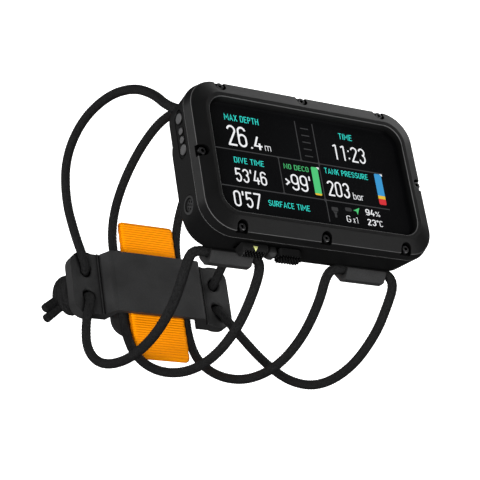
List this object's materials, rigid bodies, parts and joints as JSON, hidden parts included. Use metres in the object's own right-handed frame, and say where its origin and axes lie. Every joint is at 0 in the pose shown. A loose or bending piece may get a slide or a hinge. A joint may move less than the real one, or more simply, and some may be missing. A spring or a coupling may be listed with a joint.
{
  "type": "dive computer",
  "caption": "Wide rectangular wrist dive computer in a screwed case with two side push buttons, held by elastic bungee cords to a buckle plate with a pull tab.",
  "frame": {"origin": "centre of the flat case back, which lies on the diver's forearm", "axes": "+Z out of the display, +X along the long side of the case, +Y towards the top edge of the display"},
  "size_m": [0.1063, 0.1249, 0.1346],
  "materials": {
    "case_plastic": "fine matt moulded black, glass filled",
    "bezel_coated": "satin black hard coat",
    "screw_steel": "black oxide steel",
    "inner_screw_steel": "plain steel",
    "cover_glass": "polished, dark",
    "display_dark": "black display panel",
    "seal_rubber": "soft black rubber",
    "tray_plastic": "moulded black",
    "board_laminate": "green solder mask",
    "battery_wrap": "grey film",
    "contact_metal": "plated grey",
    "motor_metal": "drawn can",
    "button_plastic": "diamond knurled black",
    "guide_plastic": "fine matt black",
    "buckle_plastic": "fine matt moulded black",
    "webbing_orange": "ribbed polyester webbing",
    "bungee_sleeve": "braided black sleeve"
  },
  "bodies": {
    "case": {"housing": "case_plastic", "bezel": "bezel_coated", "bezel_screws": "screw_steel", "bezel_seal": "seal_rubber", "glass": "cover_glass", "glass_gasket": "seal_rubber", "display_panel": "display_dark", "display_tray": "tray_plastic", "circuit_board": "board_laminate", "board_screws": "inner_screw_steel", "button_switches": "tray_plastic", "battery": "battery_wrap", "vibration_motor": "motor_metal", "back_cover": "case_plastic", "back_cover_seal": "seal_rubber", "back_cover_screws": "screw_steel", "charging_insert": "case_plastic", "charging_contacts": "contact_metal", "depth_sensor": "motor_metal", "sensor_cap": "case_plastic", "button_guard": "guide_plastic", "guide_screws": "screw_steel", "upper_left_guide": "guide_plastic", "upper_right_guide": "guide_plastic", "lower_left_guide": "guide_plastic", "lower_right_guide": "guide_plastic"},
    "left_button": {"left_button_cap": "button_plastic", "left_button_stem": "inner_screw_steel", "left_button_seal": "seal_rubber", "left_button_clip": "inner_screw_steel", "left_button_spring": "inner_screw_steel"},
    "right_button": {"right_button_cap": "button_plastic", "right_button_stem": "inner_screw_steel", "right_button_seal": "seal_rubber", "right_button_clip": "inner_screw_steel", "right_button_spring": "inner_screw_steel"},
    "buckle": {"buckle_plate": "buckle_plastic", "rear_keeper": "buckle_plastic", "keeper_screws": "screw_steel", "pull_tab": "webbing_orange", "left_bungee": "bungee_sleeve", "right_bungee": "bungee_sleeve", "left_knot": "bungee_sleeve", "right_knot": "bungee_sleeve"}
  },
  "joints": [
    {"name": "left_button_press", "type": "slide", "parent": "case", "child": "left_button", "axis": [0, 1, 0], "range_m": [0, 0.001], "stiffness_N_per_m": 800, "springref_m": -0.0015, "deforming": ["left_button_spring"]},
    {"name": "right_button_press", "type": "slide", "parent": "case", "child": "right_button", "axis": [0, 1, 0], "range_m": [0, 0.001], "stiffness_N_per_m": 800, "springref_m": -0.0015, "deforming": ["right_button_spring"]},
    {"name": "bungee_stretch", "type": "slide", "parent": "case", "child": "buckle", "axis": [0, 0, -1], "range_m": [0, 0.03], "stiffness_N_per_m": 250, "springref_m": -0.004, "deforming": ["left_bungee", "right_bungee"]}
  ]
}
